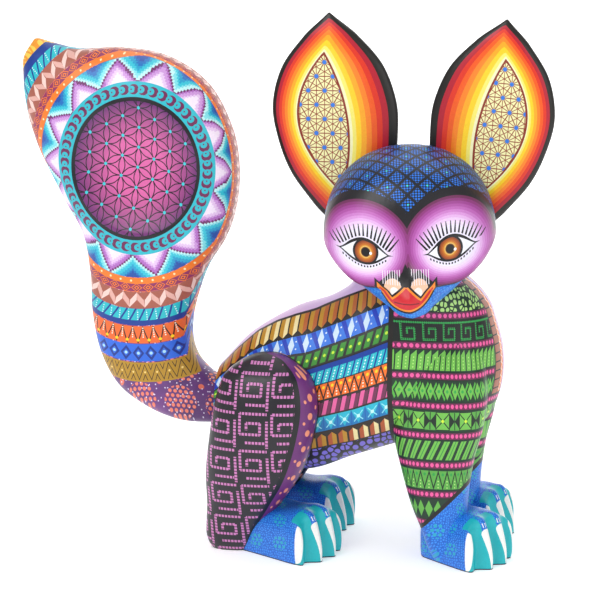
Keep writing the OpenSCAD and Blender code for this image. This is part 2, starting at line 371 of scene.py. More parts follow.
def varnish(coat):
    """Closes a finish: satin acrylic, uneven by a hair where the brush ran, over sanded wood."""
    place = drawn_place()
    brush = add("TexNoise", place, Scale=0.9, Detail=3.0, Roughness=0.6)
    wood = add("TexNoise", add("VectorMath MULTIPLY", place, (0.5, 0.5, 0.08)), Scale=0.7, Detail=2.0)
    relief = add("Math MULTIPLY_ADD", brush, 0.35, wood)
    bump = add("Bump", Strength=0.35, Distance=0.0004, Height=relief)
    # The film is a little thin in places, so each colour is uneven by a few parts in a hundred
    shade = add("Math MULTIPLY_ADD", brush, 0.22, 0.89)
    bare = add("Attribute", attribute_name="bare", out="Fac")
    coat = lay(coat, add("Mix", wood, colour("c9a674"), colour("ead2a8"), data_type="RGBA"), bare)
    worn = add("VectorMath SCALE", coat, Scale=shade)
    gloss = add("Math MULTIPLY_ADD", brush, 0.16, 0.30)
    gloss = add("Math MULTIPLY_ADD", bare, 0.3, gloss)
    # Acrylic film IOR 1.49, satin roughness 0.3 to 0.46, and 0.6 or more where the wood is bare
    shader = add("BsdfPrincipled", worn, IOR=1.49, Roughness=gloss, Normal=bump)
    add("OutputMaterial", shader)


def flank(place, along):
    """The ten bands of a flank: along is x in mm, the height in place is mm down from the back line."""
    coat = colour("1c1715")
    coat = lay(coat, "d6b4dc", strip(place, -60, 2.2))

    # Shingles under the back line, ochre and rust, some of them ochre and cream, with pointed lower ends
    shingle = row(place, 8.3, 5.9)
    pointed = add("Math LESS_THAN", above_zigzag(place, 12.2, 5.9, 2.6), 0.0)
    coat = lay(coat, "bd8a26", block(shingle, 2.5, 5.0), pointed)
    right_half = block(row(place, 8.3, 5.9, 1.25), 1.25, 5.0)
    cream_part = add("Math COMPARE", along, -9.0, 14.0)
    half_colour = add("Mix", cream_part, colour("b5602c"), colour("eedda2"), data_type="RGBA")
    coat = lay(coat, half_colour, right_half, pointed)

    # Blue band of leaning diamonds, pale and deep blue, with white dots between
    coat = lay(coat, "2c74dc", strip(place, 14.2, 23.6))
    coat = lay(coat, "0c38b4", block(row(place, 18.9, 9.0, -3.0, slant=-0.45), 1.3, 4.6))
    leaning = add("VectorMath MULTIPLY", row(place, 18.9, 9.0), (1, 1, 0))
    coat = lay(coat, "cfe5f8", lozenge(leaning, 1.9, 5.2))
    coat = lay(coat, "eaf6ff", spot(row(place, 17.0, 9.0, 2.9, 4.0), 0.42), strip(place, 14.2, 23.6))

    # Charcoal band of green leaves, each with a yellow dot
    coat = lay(coat, "2b2e2a", strip(place, 24.2, 33.0))
    coat = lay(coat, "3f8f35", block(row(place, 28.6, 5.2, slant=0.3), 1.7, 3.5))
    coat = lay(coat, "c6f03e", spot(row(place, 28.6, 5.2), 0.8))

    # Navy band of leaning turquoise bars, each with a string of white dots
    coat = lay(coat, "0e3c98", strip(place, 33.6, 43.6))
    coat = lay(coat, "22b9c6", block(row(place, 40.0, 4.5, slant=0.3), 1.75, 3.6))
    coat = lay(coat, "e4fbfb", spot(row(place, 40.0, 4.5, 0.0, 1.5, 0.3), 0.42), strip(place, 37.2, 43.0))

    # Orange band: a black zigzag, yellow dots in its upper bays, strings of white dots in the lower ones
    orange = strip(place, 44.2, 52.8)
    coat = lay(coat, "f2701e", orange)
    bay = above_zigzag(place, 48.5, 5.2, 8.0)
    coat = lay(coat, "20130e", add("Math COMPARE", bay, 0.0, 1.3), orange)
    coat = lay(coat, "ffd21c", spot(row(place, 46.2, 5.2), 0.85))
    coat = lay(coat, "fff0dc", spot(row(place, 50.0, 5.2, 2.6, 1.7), 0.45), strip(place, 48.4, 52.8))

    # Charcoal band of pink blocks with cut tops, a plum block behind each
    coat = lay(coat, "2a2325", strip(place, 53.4, 62.2))
    coat = lay(coat, "6f2a50", block(row(place, 58.2, 5.4, 2.2, slant=0.25), 1.3, 3.6))
    coat = lay(coat, "e4609e", block(row(place, 57.9, 5.4, slant=0.25), 1.25, 3.9))

    # Turquoise band of deep blue triangles round pale stars
    turquoise = strip(place, 62.8, 71.4)
    coat = lay(coat, "20b6cf", turquoise)
    deep = add("Math GREATER_THAN", above_zigzag(place, 67.1, 8.2, 8.0), 0.0)
    coat = lay(coat, "1478b8", deep, turquoise)
    star_cell = row(place, 67.1, 8.2)
    folded = add("VectorMath ABSOLUTE", star_cell)
    ray = add("Math COMPARE", measure(folded, 1, -1), 0.0, 0.4)
    coat = lay(coat, "8fe2ee", ray, spot(star_cell, 3.7), turquoise)
    coat = lay(coat, "0f63ae", block(row(place, 67.1, 8.2, 4.1), 0.35, 4.0))
    coat = lay(coat, "c2f4f0", spot(star_cell, 1.0))

    # Dark brown band of pointed pickets, rust and ochre, the last few ochre and cream
    picket_top = add("Math GREATER_THAN", above_zigzag(place, 74.4, 6.2, -2.6), 0.0)
    coat = lay(coat, "2d2119", strip(place, 72.0, 81.2))
    coat = lay(coat, "b25428", block(row(place, 77.0, 6.2), 2.5, 4.0), picket_top)
    picket_part = add("Math GREATER_THAN", along, 34.0)
    picket_half = add("Mix", picket_part, colour("bd8a26"), colour("eedda2"), data_type="RGBA")
    coat = lay(coat, picket_half, block(row(place, 77.0, 6.2, 1.25), 1.25, 4.0), picket_top)

    # Purple cells on black down to the belly
    return lay(coat, "7f6fd6", strip(place, 81.8, 160), cells(place, 4.0, 0.4))


def chest(place):
    """The green bands of the chest and forelegs: along is mm round the body, height is mm off the floor."""
    coat = colour("10331f")

    # Lime cells at the collar and pink ones above the paw
    coat = lay(coat, "b4e080", strip(place, 149, 200), cells(place, 3.4, 0.42))
    coat = lay(coat, "ee5a98", strip(place, 0, 25.5), cells(place, 3.6, 0.5))

    # A key pattern of green dots on black: each hook is six strokes
    coat = lay(coat, "0c1411", strip(place, 131.5, 144.8))
    dotted = spot(row(place, 0.0, 1.3, 0.0, 1.3), 0.62)
    for middle, height, half_width, half_height in (
        (0.0, 4.9, 6.5, 0.6), (-4.8, 0.0, 0.6, 4.9), (-1.0, -4.9, 4.3, 0.6),
        (2.9, -1.8, 0.6, 3.3), (0.6, 1.5, 2.5, 0.6), (-1.5, 0.0, 0.6, 1.8),
    ):
        stroke = block(row(place, 138.1 + height, 13.0, middle), half_width, half_height)
        coat = lay(coat, "2aa54c", stroke, dotted)

    # Light green pickets with slanting tops
    cut_top = add("Math LESS_THAN", measure(row(place, 125.4, 4.5), -0.8, 1.0), 0.0)
    coat = lay(coat, "70bd4c", block(row(place, 121.4, 4.5, slant=-0.12), 1.8, 5.8), cut_top)
    coat = lay(
        coat, "b8e47c", spot(row(place, 121.0, 4.5, 0.0, 1.9, -0.12), 0.42), strip(place, 116.5, 123.5),
    )

    # Diamonds with an arrow's tail, a darker dot in each
    coat = lay(coat, "52b03e", lozenge(row(place, 103.6, 6.3, -1.6), 2.9, 5.4))
    coat = lay(coat, "10331f", lozenge(row(place, 103.6, 6.3, 0.0), 3.1, 5.6))
    coat = lay(coat, "70bd4c", lozenge(row(place, 103.6, 6.3, 0.6), 2.6, 4.9))
    coat = lay(coat, "2fa548", spot(row(place, 103.6, 6.3, 0.6), 0.95))

    # Hourglass figures beside dark four-pointed stars, a yellow dot where the points meet
    star = strip(place, 81.2, 91.6)
    coat = lay(coat, "0b2416", star)
    pane = row(place, 86.4, 18.0)
    coat = lay(coat, "70bd4c", block(pane, 4.6, 4.9))
    pane_folded = add("VectorMath ABSOLUTE", pane)
    crossed = add("Math COMPARE", measure(pane_folded, 1.0, -1.05), 0.0, 0.5)
    coat = lay(coat, "0b2416", crossed, star)
    between = add("VectorMath ABSOLUTE", row(place, 86.4, 18.0, 9.0))
    upright = add("Math LESS_THAN", measure(between, 1.1, -1.0), 0.0)
    level = add("Math LESS_THAN", measure(between, 1.0, 0.0), 3.9)
    coat = lay(coat, "58a844", upright, level, star)
    coat = lay(coat, "0b2416", block(row(place, 86.4, 18.0, 9.0), 0.35, 5.0))
    coat = lay(coat, "d6f03a", spot(row(place, 86.4, 18.0), 0.95))

    # Leaning bars, each with a darker line down its middle; their rows of pale dots are not painted
    coat = lay(coat, "70bd4c", block(row(place, 69.1, 6.8, slant=-0.55), 2.1, 5.5))
    coat = lay(coat, "2f8c3e", block(row(place, 69.1, 6.8, slant=-0.55), 0.35, 5.5))

    # Green triangles parted by a dark zigzag, a dot in each upper bay
    bays = strip(place, 46.2, 57.0)
    coat = lay(coat, "58a844", bays)
    coat = lay(coat, "0b2416", add("Math COMPARE", above_zigzag(place, 51.6, 6.4, 9.6), 0.0, 1.3), bays)
    coat = lay(coat, "2a9e44", spot(row(place, 54.9, 6.4, 3.2), 0.95))
    coat = lay(coat, "c2ea88", spot(row(place, 49.0, 6.4, 0.0, 1.9), 0.42), strip(place, 46.8, 52.0))

    # Plain diamonds
    coat = lay(coat, "64b048", lozenge(row(place, 34.3, 6.4), 2.9, 5.0))

    # Plum bands with pink dots between all of them, seven in equal steps up the leg
    step = row(place, 43.0, 3.6, 0.0, 17.33)
    coat = lay(coat, "0b1f14", strip(step, -2.5, 2.5))
    coat = lay(coat, "6c1f4c", strip(step, -1.9, 1.9))
    return lay(coat, "f05a9e", spot(step, 1.25))


trunk_finish = new_finish("acrylic_bands_on_copal_trunk")
drawn = drawn_place()
ahead = measure(drawn, x=1)
flat = add("VectorMath MULTIPLY", add("Attribute", attribute_name="flank", out="Vector"), (1, 1, 0))
round_body = add("CombineXYZ", measure(drawn, 1, 1), measure(drawn, z=1), 0.0)
coat = lay(flank(flat, ahead), chest(round_body), add("Math GREATER_THAN", ahead, 60.0))
coat = lay(coat, "17120f", add("Math COMPARE", ahead, 59.6, 1.5))

# Down the front of the chest run three narrow strips: brown blocks, orange zigzag, and lilac at the middle
from_middle = add("Math SUBTRACT", measure(drawn, y=1), 5.0)
from_middle = add("Math ABSOLUTE", from_middle)
strips = add("CombineXYZ", measure(drawn, z=1), from_middle, 0.0)
chest_front = add("Math GREATER_THAN", measure(drawn, z=1), 98.0)
chest_front = add("Math MULTIPLY", chest_front, add("Math GREATER_THAN", ahead, 61.0))
coat = lay(coat, "17120f", strip(strips, 0, 15.4), chest_front)
coat = lay(coat, "a8664f", block(row(strips, 11.6, 5.2), 2.2, 2.9), chest_front)
coat = lay(coat, "f07a34", strip(strips, 3.4, 8.0), chest_front)
sawtooth = add("Math COMPARE", above_zigzag(strips, 5.7, 4.0, 3.8), 0.0, 0.7)
coat = lay(coat, "f8d8c4", sawtooth, strip(strips, 3.4, 8.0), chest_front)
coat = lay(coat, "d6b4dc", strip(strips, 0, 2.8), chest_front)

# The flat seat behind is painted as the tail's root is, in indigo
coat = lay(coat, "33265c", add("Math LESS_THAN", ahead, -47.9))
varnish(coat)


def on_line(points, x):
    """The height of a line of points at x."""
    for (x0, z0), (x1, z1) in zip(points, points[1:]):
        if x <= x1 or (x1, z1) == points[-1]:
            return z0 + (z1 - z0) * (x - x0) / (x1 - x0)


BACK_LINE = [(-48, 107), (-36, 120), (-24, 131), (-12, 138), (0, 143), (12, 147), (50, 165)]
BELLY_LINE = [(-48, 50), (8, 47), (38, 58), (56, 67)]
FLANK_HEIGHT = 90


def flank_chart(co, grid, middle):
    """Along the flank, and down from the back line in steps that narrow toward the rump."""
    top, bottom = on_line(BACK_LINE, co.x), on_line(BELLY_LINE, co.x)
    fall = (top - co.z) / (top - bottom)
    return co.x, FLANK_HEIGHT * fall * (1 + 0.07 * (50 - co.x) / 42), 0


TAIL_SEAT_X = -48
TAIL_PEG_R, TAIL_PEG_OUT, PEG_GAP = 7, 24, 0.05
trunk_form = skin(TRUNK_RIBS, 140, 180, 2.2)
cut_away(trunk_form, (TAIL_SEAT_X, 0, 0), (-1, 0, 0), left=0)
tail_socket = drill((TAIL_SEAT_X + 0.5, 5, 84), math.radians(90), TAIL_PEG_R + PEG_GAP, 2 * TAIL_PEG_OUT + 1)
trunk_form = carve(trunk_form, tail_socket)
finished("trunk", trunk_form, "figure", ["torso"], "painted_trunk", trunk_finish, flank=flank_chart)

# ---------------------------------------------------------------- head
# Carved apart from the trunk and pegged to it. Round cheeks and brows stand out over a
# small muzzle. Painted in acrylic: heart of purple rings, black crown dotted in blue.

HEAD_RIBS = [
    (-43, 16, -43, -16, 0, 19),
    (-35, 34, -35, -31, 0, 36),
    (-14, 49, -14, -43, 0, 47),
    (8, 51, 6, -46, 0, 49.5),
    (26, 45, 24, -44, 0, 47),
    (38, 32, 37, -40, 0, 40),
    (46, 13, 45, -37, 0, 30),
    (52, -2, 51, -35, 0, 20),
    (58, -9, 58, -34, 0, 15),
    (65, -14, 64, -29, 0, 9),
]
HEAD_SET = (
    Matrix.Translation((66.5, -8, 191))
    @ Matrix.Rotation(math.radians(-80), 4, "Z")
    @ Matrix.Rotation(math.radians(10), 4, "Y")
    @ Matrix.Rotation(math.radians(3), 4, "X")
)
HEAD_BACK = HEAD_SET.inverted()
FACE_MIDDLE_Y = -1.2
EAR_PEG_R, EAR_PEG_LEN = 3, 36
EAR_PEGS = (((35, 13, 218), math.radians(-26)), ((98, 13, 218), math.radians(26)))
EYE_LOBE = (24.5, 6)
LOBE_WIDTH, LOBE_RISE, LOBE_FALL = 27, 26.5, 20


def lobe_measure(ahead, side, z):
    """One at the edge of the purple lobe round an eye, nought at its middle."""
    fall = (z - EYE_LOBE[1]) / (LOBE_RISE if z > EYE_LOBE[1] else LOBE_FALL)
    behind = max(0.0, 34 - ahead) / 36 if z > EYE_LOBE[1] else max(0.0, 18 - ahead) / 22
    return math.hypot(math.hypot((side - EYE_LOBE[0]) / LOBE_WIDTH, fall), behind)


def face_chart(co, grid, middle):
    """The head's own forward, sideways and upward mm."""
    return HEAD_BACK @ co


def crown_chart(co, grid, middle):
    """Arcs across and up over the crown in mm, and the lobe measure."""
    own = HEAD_BACK @ co
    across = 48 * math.asin(max(-1.0, min(1.0, own.y / max(own.length, 1))))
    over = 48 * math.atan2(own.z, own.x)
    return across, over, lobe_measure(own.x, abs(own.y - FACE_MIDDLE_Y), own.z)


head_finish = new_finish("acrylic_face_on_copal")
own = add("Attribute", attribute_name="face", out="Vector")
crown = add("Attribute", attribute_name="crown", out="Vector")
crown_flat = add("VectorMath MULTIPLY", crown, (1, 1, 0))
lobe = measure(crown, z=1)
up = measure(own, z=1)
ahead = measure(own, x=1)
side = add("Math ABSOLUTE", add("Math SUBTRACT", measure(own, y=1), FACE_MIDDLE_Y))
face = add("CombineXYZ", side, up, 0.0)

# Crown: black, with blue dots in rows that gather into diamonds
coat = colour("0e1522")
dot = spot(row(crown_flat, 0.0, 1.5, 0.0, 1.5), 0.56)
diamond = row(crown_flat, 0.0, 10.5, 0.0, 10.5)
beyond_line = add("Math LESS_THAN", lozenge(diamond, 5.25, 5.25, 1.05), 0.5)
coat = lay(coat, "2276e2", dot, beyond_line)
coat = lay(coat, "40d8e0", dot, spot(diamond, 0.9))

# Jaw and ruff: bright blue with a fine stipple
front = add("Math GREATER_THAN", ahead, 30.0)
low = add("Math LESS_THAN", up, -7.0)
coat = lay(coat, "1c6cd2", low)
coat = lay(coat, "3f97e6", low, cells(face, 1.6, 0.26))

# Heavy black brow in the shape of a heart, then rings of purple that pale toward the eye
facing = add("Math GREATER_THAN", ahead, 4.0)
coat = lay(coat, "17151b", add("Math LESS_THAN", lobe, 1.16), facing, add("Math GREATER_THAN", up, -9.0))
coat = lay(coat, "17151b", add("Math LESS_THAN", lobe, 1.05), facing)
for reach, shade in (
    (1.0, "6f2a58"), (0.95, "8a3478"), (0.90, "9c4090"), (0.85, "ad50a4"), (0.80, "bc64b6"),
    (0.75, "ca7cc8"), (0.70, "d795d8"), (0.65, "e2b0e6"), (0.60, "e9c8f0"), (0.54, "ecdaf6"),
    (0.47, "ebe6fa"),
):
    coat = lay(coat, shade, add("Math LESS_THAN", lobe, reach), facing)

# Black bridge, which widens down to the nose
from_nose = add("Math ABSOLUTE", add("Math SUBTRACT", measure(own, y=1), -3.0))
nose_face = add("CombineXYZ", from_nose, up, 0.0)
bridge = add("Math LESS_THAN", measure(nose_face, 2.0, 1.0), -1.0)
above_nose = add("Math GREATER_THAN", up, -8.0)
coat = lay(coat, "17151b", bridge, above_nose, front)

# Eyes: heavy black lids, white corners, a rust and gold iris, and a highlight
EYE_HALF = 13.8
reach = add("Math SUBTRACT", side, EYE_LOBE[0])
tilted = add("Math MULTIPLY_ADD", reach, -0.09, up)
level = add("Math SUBTRACT", tilted, 5.2)
share = add("Math DIVIDE", reach, EYE_HALF)
arch = add("Math MULTIPLY_ADD", add("Math MULTIPLY", share, share), -1.0, 1.0)
arch = add("Math POWER", add("Math MAXIMUM", arch, 0.0), 1.45)
under_lid = add("Math MULTIPLY_ADD", arch, -6.9, level)
over_lid = add("Math MULTIPLY_ADD", arch, 4.9, level)
to_corner = add("Math ABSOLUTE", reach)
lid = add("MapRange", to_corner, 8.0, 16.4, 1.0, 0.0)
inside_black = (
    add("Math LESS_THAN", under_lid, add("Math MULTIPLY", lid, 1.5)),
    add("Math GREATER_THAN", over_lid, add("Math MULTIPLY", lid, -0.9)),
    facing,
)
inside_white = (
    add("Math LESS_THAN", under_lid, -0.1),
    add("Math GREATER_THAN", over_lid, 0.4),
    facing,
)
coat = lay(coat, "121014", *inside_black)
coat = lay(coat, "eef0f8", *inside_white)
iris = add("VectorMath SUBTRACT", add("CombineXYZ", side, up, 0.0), (23.6, 6.2, 0))
from_pupil = add("VectorMath LENGTH", iris)
for radius, shade in (
    (7.2, "121014"), (6.0, "8a3c14"), (5.3, "a85218"), (4.5, "c06a1c"), (3.7, "d8902c"), (3.1, "eac46a"),
    (2.7, "7a4418"), (2.3, "0d0b0d"),
):
    coat = lay(coat, shade, add("Math LESS_THAN", from_pupil, radius), *inside_white)
glint = add("VectorMath MULTIPLY", own, (0, 1, 1))
for glint_y in (-22.0, 25.2):
    near = add("VectorMath LENGTH", add("VectorMath SUBTRACT", glint, (0, glint_y, 5.6)))
    coat = lay(coat, "f8f8fc", add("Math LESS_THAN", near, 0.8), facing)

# Upper lashes: about twenty strokes that fan out from the lid and taper to nothing
fan = add("VectorMath SUBTRACT", face, (EYE_LOBE[0], -7.0, 0))
turn = add("Math ARCTAN2", measure(fan, x=1), measure(fan, y=1))
length = add("VectorMath LENGTH", fan)
stroke = add("Math ABSOLUTE", add("Math WRAP", turn, 0.05, -0.05))
taper = add("Math MULTIPLY_ADD", length, -0.0028, 0.085)
thin = add("Math LESS_THAN", stroke, taper)
from_lid = add("Math GREATER_THAN", under_lid, 2.2)
upper = add("Math COMPARE", turn, 0.0, 0.88)
short = add("Math LESS_THAN", length, 27.5)
coat = lay(coat, "121014", thin, from_lid, upper, short, facing)

# Lower lashes: a row of short ticks
tick = add("Math LESS_THAN", add("Math PINGPONG", reach, 0.85), 0.42)
tick_height = add("Math COMPARE", over_lid, -2.0, 0.55)
coat = lay(coat, "121014", tick, tick_height, add("Math COMPARE", reach, 0.0, 13.0), facing)

# Muzzle: white and peach pads with whisker strokes, red lips edged in orange and black, a black nose
pads = add("VectorMath SUBTRACT", nose_face, (7.4, -12.6, 0))
muzzle = add("Math GREATER_THAN", ahead, 50.0)
coat = lay(coat, "17151b", lozenge(pads, 10.5, 9.0), muzzle)
coat = lay(coat, "f2c4a4", spot(pads, 4.9), muzzle)
coat = lay(coat, "faf0ea", spot(add("VectorMath SUBTRACT", pads, (-0.8, -1.6, 0)), 2.4), muzzle)
coat = lay(
    coat, "f4ecf6", block(row(add("VectorMath SUBTRACT", pads, (0, 5.4, 0)), 0.0, 1.35), 0.2, 3.6),
    add("Math COMPARE", from_nose, 8.0, 5.0), front,
)
upper_lip = add("Math MULTIPLY_ADD", add("Math ABSOLUTE", add("Math SUBTRACT", from_nose, 8.0)), 0.85, -18.6)
lip_depth = add("Math SUBTRACT", upper_lip, up)
bowl = add("Math MULTIPLY_ADD", add("Math MULTIPLY", from_nose, from_nose), 0.042, -23.2)
lip_height = add("Math SUBTRACT", up, bowl)
for margin, shade in ((2.6, "17151b"), (1.3, "f28a22"), (0.0, "cf1f2c")):
    coat = lay(
        coat, shade,
        add("Math GREATER_THAN", lip_depth, -margin),
        add("Math GREATER_THAN", lip_height, -margin),
        add("Math LESS_THAN", from_nose, 15.0 + margin),
        muzzle,
    )
coat = lay(
    coat, "7c0f1c", add("Math COMPARE", up, -19.6, 0.35), add("Math LESS_THAN", from_nose, 7.0),
    muzzle,
)
nose = add("VectorMath SUBTRACT", nose_face, (0, -8.0, 0))
coat = lay(coat, "121014", spot(nose, 3.6), muzzle)
varnish(coat)

head_form = skin(HEAD_RIBS, 220, 220, 2.1, 1.3)
for vert in head_form.verts:
    side_of = vert.co.y - FACE_MIDDLE_Y
    bulge = math.exp(-((abs(side_of) - 23) / 13) ** 2 - ((vert.co.z - 4) / 13) ** 2)
    valley = math.exp(-(side_of / 5) ** 2 - ((vert.co.z - 4) / 14) ** 2)
    lip = math.exp(-(side_of / 12) ** 2 - ((vert.co.z + 19) / 5) ** 2)
    if vert.co.x > 20:
        weight = min(1.0, (vert.co.x - 20) / 15)
        vert.co.x += weight * (2.6 * bulge - 2.4 * valley + 1.0 * lip)
        # The chin's keel is rasped round
        keel = max(0.0, -27 - vert.co.z)
        vert.co.z += weight * (keel - 4 * (1 - math.exp(-keel / 4)))
    # Under the cheeks the wood is cut back, so that they overhang the jaw
    past_lobe = lobe_measure(vert.co.x, abs(side_of), vert.co.z)
    if vert.co.z < -8 and vert.co.x > -10:
        cut = max(0.0, min(1.0, (past_lobe - 0.98) / 0.14)) * min(1.0, abs(side_of) / 20)
        vert.co.x -= 2.5 * cut
        vert.co.y -= math.copysign(2.5, side_of) * cut
bmesh.ops.transform(head_form, verts=head_form.verts, matrix=HEAD_SET)
head_form = carve(head_form, *[
    drill(
        Vector(root) - Vector((math.sin(lean), 0, math.cos(lean))) / 2, lean, EAR_PEG_R + PEG_GAP,
        EAR_PEG_LEN + 1,
    )
    for root, lean in EAR_PEGS
])
finished(
    "head", head_form, "figure", ["head"], "painted_head", head_finish, face=face_chart, crown=crown_chart,
)

# ---------------------------------------------------------------- ears
# Two leaf-shaped blades cut from thinner wood, hollowed in front, each with a peg that
# goes into the head. Painted in rings from black and crimson to cream round a latticed leaf.

EAR_RIBS = [
    (-5, -10, 10, -7, 0, 5),
    (-20, 8, 22, 11, 0, 6),
    (-34, 27, 28, 30, 0, 6.5),
    (-42, 48, 30, 50, 0, 6.5),
    (-44.5, 67, 29, 69, 0, 6.5),
    (-39, 88, 21, 90, 0, 6),
    (-26, 106, 6, 107, 0, 5),
    (-13, 120, -9, 120, 0, 2.5),
]
LEAF_FOOT, LEAF_TIP, LEAF_HALF = (-2, 16), (-13, 97), 14.5
EARS = (
    ("right", Matrix.Translation((25.5, 13, 195))),
    ("left", Matrix.Translation((99.5, 13, 195)) @ Matrix.Rotation(math.radians(4), 4, "Y")
     @ Matrix.Diagonal((-0.96, 1, 0.99, 1))),
)


def leaf_measure(x, z):
    """One on the outline of the painted leaf, nought along its midrib."""
    rise = (z - LEAF_FOOT[1]) / (LEAF_TIP[1] - LEAF_FOOT[1])
    middle = LEAF_FOOT[0] + (LEAF_TIP[0] - LEAF_FOOT[0]) * rise - 6 * (1 - (2 * rise - 1) ** 2)
    return abs(x - middle) / LEAF_HALF + (2 * rise - 1) ** 2


def rings_chart(set_back):
    """The rule of an ear: 0 at its outline to 1 at the leaf's, the leaf measure, and 1 on its front."""
    def rule(co, grid, middle):
        own = set_back @ co
        across = math.cos(grid.x * 2 * math.pi)
        s = (len(EAR_RIBS) - 1) * (1 - math.cos(math.pi * grid.y)) / 2
        x0, z0, x1, z1, depth, half = between_ribs(EAR_RIBS, s)
        wide = math.hypot(x0 - x1, z0 - z1) / 2 * math.sqrt(max(0.0, 1 - (1 - min(1.0, s, 7 - s)) ** 2))
        from_edge = wide * (1 - abs(across) ** (2 / 2.6))
        leaf = leaf_measure(own.x, own.z)
        from_leaf = max(0.0, leaf - 1) * LEAF_HALF
        return from_edge / max(0.01, from_edge + from_leaf), leaf, 1.0 if own.y < -1.5 else 0.0
    return rule


def leaf_chart(set_back):
    """The rule of an ear's own sideways and upward mm."""
    def rule(co, grid, middle):
        own = set_back @ co
        return own.x + 8, own.z, 0
    return rule


def studs(place, pitch, tall, radius):
    """Dots in rows, every other row set over by half a step."""
    one = spot(row(place, 0.0, pitch, 0.0, tall), radius)
    other = spot(row(place, tall / 2, pitch, pitch / 2, tall), radius)
    return add("Math MAXIMUM", one, other)


ear_finish = new_finish("acrylic_rings_on_ear_blades")
rings = add("Attribute", attribute_name="rings", out="Vector")
inward = measure(rings, x=1)
leaf = measure(rings, y=1)
in_front = measure(rings, z=1)
coat = colour("17130f")
for reach, shade in (
    (0.17, "b3122c"), (0.29, "dd3018"), (0.40, "ee5a14"), (0.51, "f5821a"), (0.62, "f9a81c"),
    (0.73, "fbd022"), (0.84, "f6ea72"), (0.92, "f6f3c0"),
):
    coat = lay(coat, shade, add("Math GREATER_THAN", inward, reach), in_front)
coat = lay(coat, "8a2a14", add("Math LESS_THAN", leaf, 1.04), in_front)
coat = lay(coat, "f4f0b4", add("Math LESS_THAN", leaf, 0.95), in_front)

# Six fine lines meet at each blue dot, and three more at the middle of each triangle between
LATTICE = 9.6
leaf_place = add("Attribute", attribute_name="leaf", out="Vector")
inside_leaf = add("Math LESS_THAN", leaf, 0.95)
for degrees, step, thick in (
    (0, 0.866, 0.30), (60, 0.866, 0.30), (120, 0.866, 0.30),
    (30, 0.5, 0.22), (90, 0.5, 0.22), (150, 0.5, 0.22),
):
    angle = math.radians(degrees)
    line = measure(leaf_place, -math.sin(angle), math.cos(angle))
    wrapped = add("Math WRAP", line, LATTICE * step / 2, -LATTICE * step / 2)
    coat = lay(coat, "93401c", add("Math COMPARE", wrapped, 0.0, thick), inside_leaf, in_front)
coat = lay(coat, "2f7be0", studs(leaf_place, LATTICE, LATTICE * 1.732, 1.25), inside_leaf, in_front)
coat = lay(coat, "2368c0", add("Math GREATER_THAN", measure(drawn_place(), y=1), 15.0))
varnish(coat)

# The head as the ears meet it, grown by the gap that is left to draw an ear out
HEAD_GROWN = 1 + 0.6 / 48
# The ball that hollows an ear: its radius, how it is drawn out, and where its middle lies
BOWL_BALL, BOWL_STRETCH, BOWL_AT, BOWL_MIDDLE_Y = 60, (1.4, 2.4), (-8, 62), -63.5
for side, ear_set in EARS:
    ear_form = skin(EAR_RIBS, 160, 160, 2.6)
    for vert in ear_form.verts:
        x, y, z = vert.co
        # Hollowed in front: the round gouge leaves a rim and a smooth bowl
        bowl = ((x - BOWL_AT[0]) / BOWL_STRETCH[0]) ** 2 + ((z - BOWL_AT[1]) / BOWL_STRETCH[1]) ** 2
        floor = BOWL_MIDDLE_Y + math.sqrt(max(0.0, BOWL_BALL ** 2 - bowl))
        if y < 0 and bowl < BOWL_BALL ** 2:
            vert.co.y = max(y, min(0.0, floor))
    bmesh.ops.transform(ear_form, verts=ear_form.verts, matrix=ear_set)
    bmesh.ops.recalc_face_normals(ear_form, faces=ear_form.faces)
    head_room = skin(HEAD_RIBS, 100, 100, 2.1, 1.3)
    bmesh.ops.transform(head_room, verts=head_room.verts, matrix=HEAD_SET @ Matrix.Scale(HEAD_GROWN, 4))
    ear_form = carve(ear_form, head_room)
    set_back = ear_set.inverted()
    finished(
        "ear_" + side + "_blade", ear_form, "ear_" + side, ["ear_" + side], "painted_ears",
        ear_finish, rings=rings_chart(set_back), leaf=leaf_chart(set_back),
    )

# ---------------------------------------------------------------- tail
# The largest carving after the trunk: a brush with a shallow dish on its face, on a peg in
# the rump. Its bands run round the dish like ripples and end in a gold tip.

TAIL_RIBS = [
    (-40, 72, -40, 96, 5, 12),
    (-56, 70, -52, 99, 5, 14),
    (-74, 71, -59, 104, 5, 17),
    (-93, 78, -64, 110, 5, 19.5),
    (-111, 91, -67, 119, 5, 21.5),
    (-122, 111, -67, 131, 5, 23),
    (-127, 135, -64, 145, 5, 24),
    (-128, 158, -57, 164, 5, 25),
    (-132, 182, -46, 182, 5, 27),
    (-141, 199, -40, 200, 5, 29),
    (-150, 216, -38, 222, 5, 30),
    (-158, 232, -42, 246, 5, 30),
    (-164, 249, -56, 272, 5, 28),
    (-167, 264, -80, 288, 5, 24),
    (-168, 276, -108, 293, 5, 18),
    (-168, 286, -136, 292, 5, 12),
    (-164, 297, -157, 298, 5, 5),
]
DISH_AT = (-94, 225)
DISH_BALL, DISH_MIDDLE_Y = 111, -125


def ripples_chart(co, grid, middle):
    """Degrees round the dish, and mm out from its middle. Over the edges the ripples lean back."""
    from_middle = math.hypot(1.05 * (co.x - DISH_AT[0]), 0.97 * (co.z - DISH_AT[1]))
    face_turn = math.atan2(middle.x - DISH_AT[0], DISH_AT[1] - middle.z)
    turn = math.atan2(co.x - DISH_AT[0], DISH_AT[1] - co.z)
    turn += 2 * math.pi * round((face_turn - turn) / (2 * math.pi))
    s = (len(TAIL_RIBS) - 1) * (1 - math.cos(math.pi * grid.y)) / 2
    half = between_ribs(TAIL_RIBS, s)[5]
    lean = max(0.0, half * 0.5 - abs(co.y - 5))
    return math.degrees(turn), from_middle + 1.1 * lean, 0


tail_finish = new_finish("acrylic_ripples_on_tail")
ripples = add("Attribute", attribute_name="ripples", out="Vector")
out_from = measure(ripples, y=1)
drawn = drawn_place()
sea = add("TexNoise", drawn, Scale=0.05, Detail=2.0)

